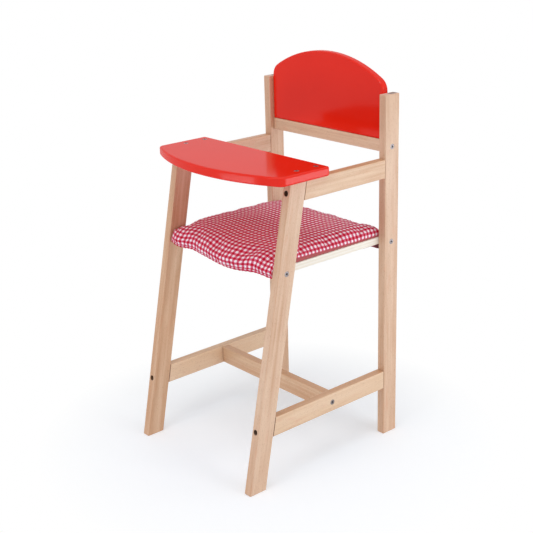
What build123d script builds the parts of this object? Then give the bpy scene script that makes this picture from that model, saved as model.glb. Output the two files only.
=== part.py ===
from build123d import *
import os
from math import atan, degrees, sqrt

# Doll high chair: two flat beech side frames, joined by a cross stretcher, a seat
# board, a back rail, a backrest panel and a tray. Millimetres, +Z up.
# The origin is on the floor, at the centre of the footprint. The front faces -Y and
# the sitter's left is +X.

# Overall sizes
frame_width = 247.5
frame_depth = 281.5
post_height = 500

# Stock that the frame is cut from
stock_thickness = 12.5
stock_width = 26
leg_width = 27.3
edge_radius = 1.2
leg_lean_share = 0.202

# Heights of the rails
armrest_top = 413
stretcher_bottom = 74
stretcher_height = 27
cross_stretcher_rise = 1
cross_stretcher_height = 25
cross_stretcher_setback = 129

# Boards
seat_thickness = 10
seat_height = 301
seat_front_setback = 7
seat_rear_setback = 3
seat_edge_radius = 0.8
lacquer_edge_radius = 2.5

# Tray
tray_thickness = 12.5
tray_overhang = 6.5
tray_rear_reach = 34.8
tray_side_length = 81.4
tray_bow = 32.5
tray_front_corner_radius = 9
tray_rear_corner_radius = 4

# Backrest
back_rail_height = 17
back_rail_drop = 79.5
panel_thickness = 11
panel_side_gap = 0.25
panel_shoulder_height = 74.8
panel_crown = 33.5
panel_corner_radius = 19

# Screws that draw the side frames together, sunk in counterbores
frame_screw_diameter = 5
frame_screw_length = 50
frame_screw_head_diameter = 7
frame_screw_head_height = 3.5
counterbore_clearance = 0.3
counterbore_depth = 8.5

# Countersunk screws through the side frames and through the tray
side_screw_diameter = 4.5
side_screw_length = 38
tray_screw_diameter = 4
tray_screw_length = 20
flat_head_diameter = 7.6
flat_head_height = 2.6
flat_head_rim = 0.5
flat_head_sink = 0.2
socket_width = 3
socket_depth = 1.8
socket_sides = 6
screw_clearance = 0.05
screw_tip_share = 0.6
rear_seat_screw_drop = 1.5

# Wooden dowels
frame_dowel_diameter = 6
frame_dowel_length = 24
frame_dowel_offset = 7.5
panel_dowel_diameter = 5
panel_dowel_length = 16
dowel_clearance = 0.05
dowel_end_clearance = 0.5
base_dowel_count = 3
base_dowel_end_inset = 31
side_dowel_height_shares = (0.22, 0.68)
side_dowel_length = 14

# Tray screws: ahead of the rear faces of the legs, ahead of the rear edge of the tray,
# and in from the outer faces of the side frames
tray_leg_screw_inset = 10.4
tray_armrest_screw_inset = 11.7
tray_screw_side_inset = 8

# Cushion
cushion_gap = 0.3
cushion_rear_inset = 13
cushion_edge_height = 11
cushion_crown = 6
cushion_edge_bulge_share = 0.42
cushion_front_shoulder = 9
cushion_front_thickness = 4
cushion_front_bulge = 9
cushion_hem_drop = 3.4
cushion_hem_lift = 3
cushion_end_shrink = 3
cushion_end_thin_share = 0.68
cover_thickness = 1.2
foam_clearance = 0.2

# Stations across the cushion, from the sitter's right to their left: place across the
# half width, how far the front bulges and hangs, how much of the crown is there and how
# far the edges are drawn in
cushion_station_shares = (
    (-1, 0.1, 0.02, 1),
    (-0.985, 0.2, 0.1, 0.55),
    (-0.95, 0.4, 0.25, 0.15),
    (-0.87, 0.7, 0.5, 0),
    (-0.76, 0.78, 0.7, 0),
    (-0.65, 0.5, 0.84, 0),
    (-0.55, 0.35, 0.92, 0),
    (-0.4, 0.45, 0.98, 0),
    (-0.2, 0.7, 1, 0),
    (0, 0.85, 1, 0),
    (0.25, 1, 1, 0),
    (0.42, 0.85, 0.97, 0),
    (0.55, 0.5, 0.92, 0),
    (0.65, 0.3, 0.84, 0),
    (0.78, 0.15, 0.68, 0),
    (0.88, 0.1, 0.48, 0),
    (0.95, 0.1, 0.25, 0.15),
    (0.985, 0.1, 0.1, 0.55),
    (1, 0.05, 0.02, 1),
)

# Straps that hold the cushion at the rear of the seat board
strap_width = 15
strap_thickness = 1.4
strap_inset = 12
strap_sag = 7
strap_under_run = 28
strap_rise_run = 8
strap_bend_radius = 2.2
patch_thickness = 1.2
patch_length = 20

# Everything that follows is worked out from the sizes above
outer_x = frame_width / 2
inner_x = outer_x - stock_thickness
side_x = (outer_x + inner_x) / 2
rear_y = frame_depth / 2
post_front_y = rear_y - stock_width
post_centre_y = rear_y - stock_width / 2
leg_depth = leg_width * sqrt(1 + leg_lean_share**2)
armrest_bottom = armrest_top - stock_width
armrest_axis_z = armrest_top - stock_width / 2
stretcher_axis_z = stretcher_bottom + stretcher_height / 2
cross_stretcher_bottom = stretcher_bottom + cross_stretcher_rise
cross_axis_z = cross_stretcher_bottom + cross_stretcher_height / 2
cross_y = rear_y - cross_stretcher_setback
seat_mid_z = seat_height - seat_thickness / 2
seat_underside = seat_height - seat_thickness
tray_top = armrest_top + tray_thickness
back_rail_bottom = post_height - back_rail_drop
back_rail_axis_z = back_rail_bottom + back_rail_height / 2
back_rail_top = back_rail_bottom + back_rail_height
panel_y = post_centre_y - stock_thickness / 2 + panel_thickness / 2
panel_half_width = inner_x - panel_side_gap
base_dowel_spacing = (inner_x - base_dowel_end_inset) * 2 / (base_dowel_count - 1)
side_dowel_heights = [back_rail_top + panel_shoulder_height * share for share in side_dowel_height_shares]

sides = (("left", 1), ("right", -1))
side_signs = [side for side_name, side in sides]
rail_axes = (("armrest", armrest_axis_z), ("side_stretcher", stretcher_axis_z))
rail_ends = {
    "armrest": (armrest_bottom, armrest_top),
    "side_stretcher": (stretcher_bottom, stretcher_bottom + stretcher_height),
}


def leg_front_y(height):
    """The front face of a leg at a height."""
    return -rear_y + leg_lean_share * height


def leg_rear_y(height):
    """The rear face of a leg at a height."""
    return leg_front_y(height) + leg_depth


seat_front_y = leg_front_y(seat_mid_z) + seat_front_setback
seat_rear_y = rear_y - seat_rear_setback
seat_screw_places = (
    (leg_front_y(seat_mid_z) + leg_depth / 2, seat_mid_z),
    (post_centre_y, seat_mid_z - rear_seat_screw_drop),
)
tray_rear_y = leg_rear_y(armrest_top) + tray_rear_reach
tray_half_width = outer_x + tray_overhang
tray_corner_y = tray_rear_y - tray_side_length
tray_screw_rows = (
    leg_rear_y(armrest_top) - tray_leg_screw_inset,
    tray_rear_y - tray_armrest_screw_inset,
)
tray_screw_x = outer_x - tray_screw_side_inset


def drill(mouth, direction, diameter, depth):
    """Cut a round hole of this depth into the part, starting outside its face."""
    way = Vector(*direction)
    start = Vector(*mouth) - way * stock_width
    with Locations(Plane(origin=start, z_dir=way * -1)):
        Hole(radius=diameter / 2, depth=depth + stock_width)


def countersink(mouth, direction, shank_diameter):
    """Cut a through hole with a seat that follows a flat head's rim and cone."""
    head_radius = flat_head_diameter / 2
    shank_radius = shank_diameter / 2
    cone_slope = (head_radius - shank_radius) / (flat_head_height - flat_head_rim)
    way = Vector(*direction)
    cone_mouth = Vector(*mouth) + way * (flat_head_sink + flat_head_rim)
    with Locations(Plane(origin=cone_mouth, z_dir=way * -1)):
        CounterSinkHole(
            radius=shank_radius + screw_clearance,
            counter_sink_radius=head_radius + screw_clearance,
            depth=stock_width,
            counter_sink_angle=degrees(atan(cone_slope)) * 2,
        )


def counterbore(mouth, direction):
    """Cut a through hole with a counterbore for a frame screw."""
    with Locations(Plane(origin=mouth, z_dir=Vector(*direction) * -1)):
        CounterBoreHole(
            radius=frame_screw_diameter / 2 + screw_clearance,
            counter_bore_radius=frame_screw_head_diameter / 2 + counterbore_clearance,
            counter_bore_depth=counterbore_depth,
            depth=stock_width * 2,
        )


def screw_side_holes(side, places):
    """Countersunk holes through a side frame's outer face."""
    for y, z in places:
        countersink((side * outer_x, y, z), (-side, 0, 0), side_screw_diameter)


def pilot(mouth, direction, diameter, depth):
    """Cut the blind hole that a screw's thread bites in."""
    drill(mouth, direction, diameter + screw_clearance * 2, depth)


def flat_screw(shank_diameter, length):
    """A countersunk screw that points down, with the face that it sinks in at zero."""
    head_radius = flat_head_diameter / 2
    shank_radius = shank_diameter / 2
    top_z = -flat_head_sink
    tip_z = top_z - length
    with BuildPart() as screw:
        with BuildSketch(Plane.XZ):
            with BuildLine():
                Polyline(
                    (0, top_z),
                    (head_radius, top_z),
                    (head_radius, top_z - flat_head_rim),
                    (shank_radius, top_z - flat_head_height),
                    (shank_radius, tip_z + shank_diameter),
                    (shank_radius * screw_tip_share, tip_z),
                    (0, tip_z),
                    close=True,
                )
            make_face()
        revolve(axis=Axis.Z)
        with BuildSketch(Plane.XY.offset(top_z)):
            RegularPolygon(socket_width / 2, socket_sides, major_radius=False)
        extrude(amount=-socket_depth, mode=Mode.SUBTRACT)
    return screw.part


def counterbored_screw():
    """A cheese-headed screw that points down, under the mouth of its counterbore."""
    head_radius = frame_screw_head_diameter / 2
    shank_radius = frame_screw_diameter / 2
    seat_z = -counterbore_depth
    top_z = seat_z + frame_screw_head_height
    tip_z = seat_z - frame_screw_length
    with BuildPart() as screw:
        with BuildSketch(Plane.XZ):
            with BuildLine():
                Polyline(
                    (0, top_z),
                    (head_radius - flat_head_rim, top_z),
                    (head_radius, top_z - flat_head_rim),
                    (head_radius, seat_z),
                    (shank_radius, seat_z),
                    (shank_radius, tip_z + frame_screw_diameter),
                    (shank_radius * screw_tip_share, tip_z),
                    (0, tip_z),
                    close=True,
                )
            make_face()
        revolve(axis=Axis.Z)
        with BuildSketch(Plane.XY.offset(top_z)):
            RegularPolygon(socket_width / 2, socket_sides, major_radius=False)
        extrude(amount=-socket_depth, mode=Mode.SUBTRACT)
    return screw.part


def place_copies(piece, places):
    """Put copies of a screw at (mouth, direction) places, each pointing that way."""
    planes = [Plane(origin=mouth, z_dir=Vector(*direction) * -1) for mouth, direction in places]
    with Locations(*planes):
        add(piece)


def dowel(centre, direction, diameter, length):
    """A plain round dowel along a direction."""
    with Locations(Plane(origin=centre, z_dir=direction)):
        Cylinder(radius=diameter / 2, height=length)


def save(part, name):
    """Name a finished piece and write it."""
    part.label = name
    export_step(part, f"parts/{name}.step")
    print(name, round(part.volume), "mm3")


os.makedirs("parts", exist_ok=True)

# Front legs, level at the floor and under the tray
for side_name, side in sides:
    with BuildPart() as front_leg:
        with BuildSketch(Plane.YZ.offset(side * side_x)):
            with BuildLine():
                Polyline(
                    (leg_front_y(0), 0),
                    (leg_rear_y(0), 0),
                    (leg_rear_y(armrest_top), armrest_top),
                    (leg_front_y(armrest_top), armrest_top),
                    close=True,
                )
            make_face()
        extrude(amount=stock_thickness / 2, both=True)
        fillet(front_leg.edges(), edge_radius)
        for rail_name, axis_z in rail_axes:
            counterbore((side * side_x, leg_front_y(axis_z), axis_z), (0, 1, 0))
            dowel_z = axis_z - frame_dowel_offset
            drill(
                (side * side_x, leg_rear_y(dowel_z), dowel_z),
                (0, -1, 0),
                frame_dowel_diameter + dowel_clearance * 2,
                frame_dowel_length / 2 + dowel_end_clearance,
            )
        screw_side_holes(side, seat_screw_places[:1])
        pilot(
            (side * tray_screw_x, tray_screw_rows[0], armrest_top),
            (0, 0, -1),
            tray_screw_diameter,
            tray_screw_length - tray_thickness + flat_head_sink,
        )
    save(front_leg.part, f"front_leg_{side_name}")

# Rear posts, upright
for side_name, side in sides:
    with BuildPart() as rear_post:
        with BuildSketch():
            with Locations((side * side_x, post_centre_y)):
                Rectangle(stock_thickness, stock_width)
        extrude(amount=post_height)
        fillet(rear_post.edges(), edge_radius)
        for rail_name, axis_z in rail_axes:
            counterbore((side * side_x, rear_y, axis_z), (0, -1, 0))
            drill(
                (side * side_x, post_front_y, axis_z - frame_dowel_offset),
                (0, 1, 0),
                frame_dowel_diameter + dowel_clearance * 2,
                frame_dowel_length / 2 + dowel_end_clearance,
            )
        screw_side_holes(side, seat_screw_places[1:])
        screw_side_holes(side, [(post_centre_y, back_rail_axis_z)])
        for height in side_dowel_heights:
            drill(
                (side * inner_x, panel_y, height),
                (side, 0, 0),
                panel_dowel_diameter + dowel_clearance * 2,
                side_dowel_length / 2 + dowel_end_clearance,
            )
    save(rear_post.part, f"rear_post_{side_name}")

# Armrests and side stretchers, cut to the lean of the leg at the front
for side_name, side in sides:
    for rail_name, axis_z in rail_axes:
        low_z, high_z = rail_ends[rail_name]
        with BuildPart() as side_rail:
            with BuildSketch(Plane.YZ.offset(side * side_x)):
                with BuildLine():
                    Polyline(
                        (leg_rear_y(low_z), low_z),
                        (post_front_y, low_z),
                        (post_front_y, high_z),
                        (leg_rear_y(high_z), high_z),
                        close=True,
                    )
                make_face()
            extrude(amount=stock_thickness / 2, both=True)
            fillet(side_rail.edges(), edge_radius)
            dowel_z = axis_z - frame_dowel_offset
            for end_y, end_z, way in (
                (leg_rear_y(axis_z), axis_z, 1),
                (post_front_y, axis_z, -1),
            ):
                pilot(
                    (side * side_x, end_y, end_z),
                    (0, way, 0),
                    frame_screw_diameter,
                    frame_screw_length - (leg_depth if way > 0 else stock_width) + counterbore_depth,
                )
            for end_y, way in ((leg_rear_y(dowel_z), 1), (post_front_y, -1)):
                drill(
                    (side * side_x, end_y, dowel_z),
                    (0, way, 0),
                    frame_dowel_diameter + dowel_clearance * 2,
                    frame_dowel_length / 2 + dowel_end_clearance,
                )
            if rail_name == "armrest":
                pilot(
                    (side * tray_screw_x, tray_screw_rows[1], armrest_top),
                    (0, 0, -1),
                    tray_screw_diameter,
                    tray_screw_length - tray_thickness + flat_head_sink,
                )
            else:
                screw_side_holes(side, [(cross_y, cross_axis_z)])
                drill(
                    (side * inner_x, cross_y, cross_axis_z - frame_dowel_offset),
                    (side, 0, 0),
                    frame_dowel_diameter + dowel_clearance * 2,
                    side_dowel_length / 2 + dowel_end_clearance,
                )
        save(side_rail.part, f"{rail_name}_{side_name}")

# Cross stretcher between the two side stretchers
with BuildPart() as cross_stretcher:
    with BuildSketch(Plane.XY.offset(cross_stretcher_bottom)):
        with Locations((0, cross_y)):
            Rectangle(inner_x * 2, stock_thickness)
    extrude(amount=cross_stretcher_height)
    fillet(cross_stretcher.edges(), edge_radius)
    for side in side_signs:
        pilot(
            (side * inner_x, cross_y, cross_axis_z),
            (-side, 0, 0),
            side_screw_diameter,
            side_screw_length - stock_thickness + flat_head_sink,
        )
        drill(
            (side * inner_x, cross_y, cross_axis_z - frame_dowel_offset),
            (-side, 0, 0),
            frame_dowel_diameter + dowel_clearance * 2,
            frame_dowel_length - side_dowel_length / 2 + dowel_end_clearance,
        )
save(cross_stretcher.part, "cross_stretcher")

# Seat board between the side frames
with BuildPart() as seat_board:
    with BuildSketch(Plane.XY.offset(seat_underside)):
        with Locations((0, (seat_front_y + seat_rear_y) / 2)):
            Rectangle(inner_x * 2, seat_rear_y - seat_front_y)
    extrude(amount=seat_thickness)
    fillet(seat_board.edges(), seat_edge_radius)
    for side in side_signs:
        for y, z in seat_screw_places:
            pilot(
                (side * inner_x, y, z),
                (-side, 0, 0),
                side_screw_diameter,
                side_screw_length - stock_thickness + flat_head_sink,
            )
save(seat_board.part, "seat_board")

# Back rail between the posts
with BuildPart() as back_rail:
    with BuildSketch(Plane.XY.offset(back_rail_bottom)):
        with Locations((0, post_centre_y)):
            Rectangle(inner_x * 2, stock_thickness)
    extrude(amount=back_rail_height)
    fillet(back_rail.edges(), edge_radius)
    for side in side_signs:
        pilot(
            (side * inner_x, post_centre_y, back_rail_axis_z),
            (-side, 0, 0),
            side_screw_diameter,
            side_screw_length - stock_thickness + flat_head_sink,
        )
    with Locations((0, panel_y, back_rail_top)):
        with GridLocations(base_dowel_spacing, 0, base_dowel_count, 1):
            Hole(
                radius=panel_dowel_diameter / 2 + dowel_clearance,
                depth=panel_dowel_length / 2 + dowel_end_clearance,
            )
save(back_rail.part, "back_rail")

# Backrest panel with a crowned top, standing on the back rail
panel_rear_plane = Plane.XZ.offset(-(panel_y + panel_thickness / 2))
shoulder_z = back_rail_top + panel_shoulder_height
with BuildPart() as backrest_panel:
    with BuildSketch(panel_rear_plane):
        with BuildLine():
            sides_and_base = Polyline(
                (panel_half_width, shoulder_z),
                (panel_half_width, back_rail_top),
                (-panel_half_width, back_rail_top),
                (-panel_half_width, shoulder_z),
            )
            ThreePointArc(
                sides_and_base @ 1,
                (0, shoulder_z + panel_crown),
                sides_and_base @ 0,
            )
        top_corners = make_face().vertices().group_by(Axis.Y)[-1]
        fillet(top_corners, panel_corner_radius)
    extrude(amount=panel_thickness)
    fillet(backrest_panel.faces().filter_by(Axis.Y).edges(), lacquer_edge_radius)
    for count in range(base_dowel_count):
        drill(
            (base_dowel_spacing * (count - (base_dowel_count - 1) / 2), panel_y, back_rail_top),
            (0, 0, 1),
            panel_dowel_diameter + dowel_clearance * 2,
            panel_dowel_length / 2 + dowel_end_clearance,
        )
    for side in side_signs:
        for height in side_dowel_heights:
            drill(
                (side * panel_half_width, panel_y, height),
                (-side, 0, 0),
                panel_dowel_diameter + dowel_clearance * 2,
                side_dowel_length / 2 + dowel_end_clearance,
            )
save(backrest_panel.part, "backrest_panel")

# Tray with a bowed front, on the leg tops and armrests
with BuildPart() as tray:
    with BuildSketch(Plane.XY.offset(armrest_top)) as tray_outline:
        with BuildLine():
            tray_sides = Polyline(
                (-tray_half_width, tray_corner_y),
                (-tray_half_width, tray_rear_y),
                (tray_half_width, tray_rear_y),
                (tray_half_width, tray_corner_y),
            )
            ThreePointArc(
                tray_sides @ 1,
                (0, tray_corner_y - tray_bow),
                tray_sides @ 0,
            )
        make_face()
        fillet(tray_outline.vertices().group_by(Axis.Y)[0], tray_front_corner_radius)
        fillet(tray_outline.vertices().group_by(Axis.Y)[-1], tray_rear_corner_radius)
    extrude(amount=tray_thickness)
    fillet(tray.faces().filter_by(Axis.Z).edges(), lacquer_edge_radius)
    for side in side_signs:
        for row_y in tray_screw_rows:
            countersink((side * tray_screw_x, row_y, tray_top), (0, 0, -1), tray_screw_diameter)
save(tray.part, "tray")

# Screws. Identical ones share a file as separate solids.
with BuildPart() as tray_screws:
    place_copies(
        flat_screw(tray_screw_diameter, tray_screw_length),
        [
            ((side * tray_screw_x, row_y, tray_top), (0, 0, -1))
            for side in side_signs
            for row_y in tray_screw_rows
        ],
    )
save(tray_screws.part, "tray_screws")

side_screw = flat_screw(side_screw_diameter, side_screw_length)
side_screw_groups = (
    ("seat_screws", seat_screw_places),
    ("back_rail_screws", [(post_centre_y, back_rail_axis_z)]),
    ("cross_stretcher_screws", [(cross_y, cross_axis_z)]),
)
for group_name, places in side_screw_groups:
    with BuildPart() as side_screws:
        place_copies(
            side_screw,
            [((side * outer_x, y, z), (-side, 0, 0)) for side in side_signs for y, z in places],
        )
    save(side_screws.part, group_name)

frame_screw = counterbored_screw()
frame_screw_groups = (
    ("front_leg_screws", leg_front_y, (0, 1, 0)),
    ("rear_post_screws", lambda height: rear_y, (0, -1, 0)),
)
for group_name, face_y, direction in frame_screw_groups:
    with BuildPart() as frame_screws:
        place_copies(
            frame_screw,
            [
                ((side * side_x, face_y(axis_z), axis_z), direction)
                for side in side_signs
                for rail_name, axis_z in rail_axes
            ],
        )
    save(frame_screws.part, group_name)

# Dowels
with BuildPart() as side_frame_dowels:
    for side in side_signs:
        for rail_name, axis_z in rail_axes:
            dowel_z = axis_z - frame_dowel_offset
            for joint_y in (leg_rear_y(dowel_z), post_front_y):
                dowel((side * side_x, joint_y, dowel_z), (0, 1, 0), frame_dowel_diameter, frame_dowel_length)
save(side_frame_dowels.part, "side_frame_dowels")

with BuildPart() as cross_stretcher_dowels:
    for side in side_signs:
        dowel_x = inner_x + side_dowel_length / 2 - frame_dowel_length / 2
        dowel(
            (side * dowel_x, cross_y, cross_axis_z - frame_dowel_offset),
            (side, 0, 0),
            frame_dowel_diameter,
            frame_dowel_length,
        )
save(cross_stretcher_dowels.part, "cross_stretcher_dowels")

with BuildPart() as backrest_base_dowels:
    for count in range(base_dowel_count):
        dowel(
            (base_dowel_spacing * (count - (base_dowel_count - 1) / 2), panel_y, back_rail_top),
            (0, 0, 1),
            panel_dowel_diameter,
            panel_dowel_length,
        )
save(backrest_base_dowels.part, "backrest_base_dowels")

with BuildPart() as backrest_side_dowels:
    for side in side_signs:
        for height in side_dowel_heights:
            dowel(
                (side * (inner_x - panel_side_gap / 2), panel_y, height),
                (side, 0, 0),
                panel_dowel_diameter,
                side_dowel_length,
            )
save(backrest_side_dowels.part, "backrest_side_dowels")

# Cushion: a padded cover on the seat board that turns down over its front edge
cushion_half_width = inner_x - cushion_gap
cushion_floor = seat_height + cushion_gap
cushion_rear_y = seat_rear_y - cushion_rear_inset
cushion_middle_z = cushion_floor + cushion_edge_height / 2
cushion_lap_y = seat_front_y - cushion_gap


def cushion_section(station, inset, with_lap):
    """One lengthwise section of the cushion, drawn in from its skin by an inset."""
    place, bulge, crown, draw = station
    plane = Plane.YZ.offset(place * (cushion_half_width - inset))
    rear = cushion_rear_y - inset - draw * cushion_end_shrink
    half_edge = (cushion_edge_height / 2 - inset) * (1 - draw * cushion_end_thin_share)
    floor = cushion_middle_z - half_edge
    edge_top = cushion_middle_z + half_edge
    crown_top = edge_top + crown * cushion_crown
    bulge_rear = half_edge * 2 * cushion_edge_bulge_share
    front = cushion_lap_y - cushion_front_thickness - bulge * cushion_front_bulge
    hem = seat_underside - bulge * cushion_hem_drop + draw * cushion_hem_lift
    shoulder = cushion_lap_y + cushion_front_shoulder
    mid_y = (rear + shoulder) / 2
    with BuildSketch(plane) as section:
        with BuildLine():
            rear_edge = ThreePointArc(
                (rear - bulge_rear, floor), (rear, (floor + edge_top) / 2), (rear - bulge_rear, edge_top)
            )
            if with_lap:
                top = ThreePointArc(rear_edge @ 1, (mid_y, crown_top), (shoulder, edge_top))
                nose_end = (cushion_lap_y - cushion_front_thickness, hem)
                nose = ThreePointArc(top @ 1, (front, (edge_top + hem) / 2), nose_end)
                Polyline(nose @ 1, (cushion_lap_y, hem), (cushion_lap_y, floor), rear_edge @ 0)
            else:
                front_top = (shoulder + bulge_rear + inset, edge_top)
                top = ThreePointArc(rear_edge @ 1, (mid_y, crown_top), front_top)
                front_edge = ThreePointArc(
                    top @ 1, (shoulder + inset, (floor + edge_top) / 2), (front_top[0], floor)
                )
                Line(front_edge @ 1, rear_edge @ 0)
        make_face()
    return section.sketch


with BuildPart() as foam_space:
    loft([cushion_section(station, cover_thickness, False) for station in cushion_station_shares], ruled=True)
with BuildPart() as cushion_cover:
    loft([cushion_section(station, 0, True) for station in cushion_station_shares], ruled=True)
    add(foam_space.part, mode=Mode.SUBTRACT)
save(cushion_cover.part, "cushion_cover")

foam_inset = cover_thickness + foam_clearance
with BuildPart() as cushion_foam:
    loft([cushion_section(station, foam_inset, False) for station in cushion_station_shares], ruled=True)
save(cushion_foam.part, "cushion_foam")

# Straps: from the rear edge of the cushion, slack around the rear edge of the board,
# to patches on its underside
strap_top_z = seat_height + cushion_gap + strap_thickness / 2
strap_drop_y = seat_rear_y + cushion_gap + strap_thickness / 2
strap_flat_z = seat_underside - patch_thickness - strap_thickness / 2
strap_hang_z = seat_underside - strap_sag + strap_thickness / 2
patch_rear_y = seat_rear_y - strap_under_run
for side_name, side in sides:
    strap_x = side * (inner_x - strap_inset)
    with BuildPart() as cushion_strap:
        with BuildSketch(Plane.YZ.offset(strap_x)):
            with BuildLine():
                FilletPolyline(
                    (cushion_rear_y + cushion_gap, strap_top_z),
                    (strap_drop_y, strap_top_z),
                    (strap_drop_y, strap_hang_z),
                    (patch_rear_y + strap_rise_run, strap_hang_z),
                    (patch_rear_y, strap_flat_z),
                    (patch_rear_y - patch_length, strap_flat_z),
                    radius=strap_bend_radius,
                )
            trace(line_width=strap_thickness)
        extrude(amount=strap_width / 2, both=True)
    save(cushion_strap.part, f"cushion_strap_{side_name}")

with BuildPart() as strap_patches:
    for side in side_signs:
        with BuildSketch(Plane.XY.offset(seat_underside)):
            with Locations((side * (inner_x - strap_inset), patch_rear_y - patch_length / 2)):
                Rectangle(strap_width, patch_length)
        extrude(amount=-patch_thickness)
save(strap_patches.part, "strap_patches")
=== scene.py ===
# %% [markdown]
# # A doll's high chair, dressed for the camera
#
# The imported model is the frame: beech legs, posts and rails, two lacquered boards, a
# seat board and the screws, each where it is on the real chair. This notebook gives
# them their finish, and makes the cushion, its straps and the screws as fuller meshes.
# Everything is in metres, in the frame of the model: the origin is on the floor, +Z is
# up and the front of the chair faces -Y.

# %% Load the frame
import math

import bmesh
import bpy
import numpy as np
from mathutils import Matrix, Vector


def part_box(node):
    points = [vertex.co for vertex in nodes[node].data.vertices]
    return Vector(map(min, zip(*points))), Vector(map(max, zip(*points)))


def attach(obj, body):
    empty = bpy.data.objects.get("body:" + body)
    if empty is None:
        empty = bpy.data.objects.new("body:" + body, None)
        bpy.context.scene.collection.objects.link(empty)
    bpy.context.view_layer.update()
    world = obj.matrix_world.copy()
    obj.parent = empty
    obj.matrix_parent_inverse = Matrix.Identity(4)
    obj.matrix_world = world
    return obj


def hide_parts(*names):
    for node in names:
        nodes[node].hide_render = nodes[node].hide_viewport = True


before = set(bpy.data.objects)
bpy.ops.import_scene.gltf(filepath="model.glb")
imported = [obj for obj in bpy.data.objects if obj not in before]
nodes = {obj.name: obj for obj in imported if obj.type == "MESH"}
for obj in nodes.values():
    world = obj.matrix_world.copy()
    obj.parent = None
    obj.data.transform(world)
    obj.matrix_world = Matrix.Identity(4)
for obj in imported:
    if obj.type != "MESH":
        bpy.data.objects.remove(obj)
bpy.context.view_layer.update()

scene = bpy.context.scene
MM = 0.001

# %% [markdown]
# ## The camera
#
# A product photograph is taken with a long lens from a little above, so upright lines
# stay nearly parallel. The camera looks at a point inside the seat, from the front left
# corner of the chair. A real tripod is seldom quite level, and a roll of under two
# degrees is part of the view. Building the matrix from three axes keeps every angle as
# a plain number that can be changed.

# %% Place the camera
CAMERA_TARGET = Vector((0.0568, -0.0440, 0.2842))
CAMERA_DISTANCE = 1.4574
CAMERA_AZIMUTH = 49.686
CAMERA_ELEVATION = 19.307
CAMERA_ROLL = -1.695
LENS_MM = 73.528
SENSOR_MM = 36


def direction(azimuth, elevation):
    """The unit vector towards an azimuth and an elevation in degrees."""
    a, e = math.radians(azimuth), math.radians(elevation)
    return Vector((math.sin(a) * math.cos(e), -math.cos(a) * math.cos(e), math.sin(e)))


def add_object(name, data):
    """An object for this data, in the scene."""
    made = bpy.data.objects.new(name, data)
    scene.collection.objects.link(made)
    return made


def aim_camera():
    """Make the camera from its azimuth, elevation and roll about the target."""
    back, roll = direction(CAMERA_AZIMUTH, CAMERA_ELEVATION), math.radians(CAMERA_ROLL)
    level_right = Vector((0, 0, 1)).cross(back).normalized()
    level_up = back.cross(level_right)
    right = level_right * math.cos(roll) + level_up * math.sin(roll)
    up = level_up * math.cos(roll) - level_right * math.sin(roll)
    camera = add_object("camera", bpy.data.cameras.new("camera"))
    camera.data.lens = LENS_MM
    camera.data.sensor_width = SENSOR_MM
    turn = Matrix((right, up, back)).transposed().to_4x4()
    camera.matrix_world = Matrix.Translation(CAMERA_TARGET + back * CAMERA_DISTANCE) @ turn
    scene.camera = camera
    return camera


print("camera at", [round(x, 3) for x in aim_camera().matrix_world.translation])

# %% [markdown]
# ## Shader maths as sentences
#
# A procedural finish is mostly arithmetic on patterns. Adding Math nodes by hand hides
# that arithmetic, so a small class wraps a socket and turns +, -, * and / into Math
# nodes. A second class holds a tree, and one method of it adds any other node: its
# settings are given by name, and its sockets' values or links as a dictionary.


# %% Sockets that can be added and multiplied
class Signal:
    """A number that flows through a node tree."""

    def __init__(self, tree, socket):
        self.tree, self.socket = tree, socket

    def combine(self, operation, *values, clamp=False):
        """Add a Math node and return its result."""
        node = self.tree.nodes.new("ShaderNodeMath")
        node.operation, node.use_clamp = operation, clamp
        for slot, value in enumerate(values):
            if isinstance(value, Signal):
                self.tree.links.new(value.socket, node.inputs[slot])
            else:
                node.inputs[slot].default_value = value
        return Signal(self.tree, node.outputs[0])

    def __add__(self, other):
        return self.combine("ADD", self, other)

    def __sub__(self, other):
        return self.combine("SUBTRACT", self, other)

    def __rsub__(self, other):
        return self.combine("SUBTRACT", other, self)

    def __mul__(self, other):
        return self.combine("MULTIPLY", self, other)

    def __truediv__(self, other):
        return self.combine("DIVIDE", self, other)

    __radd__ = __add__
    __rmul__ = __mul__

    def to(self, operation, *others):
        """One of Math's other operations on this number."""
        return self.combine(operation, self, *others)

    def clamped(self):
        """The same number, held from 0 to 1."""
        return self.combine("ADD", self, 0, clamp=True)

    def ramp(self, start, slope):
        """0 up to a start, then a rise of this slope up to 1."""
        return ((self - start) * slope).clamped()


# %% Node trees, for finishes and for shapes
def linear(code):
    """A colour written as six hex digits, as the linear RGBA that a node wants."""
    shares = [int(code[place:place + 2], 16) / 255 for place in (0, 2, 4)]
    return [x / 12.92 if x <= 0.04045 else ((x + 0.055) / 1.055) ** 2.4 for x in shares] + [1]


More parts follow.
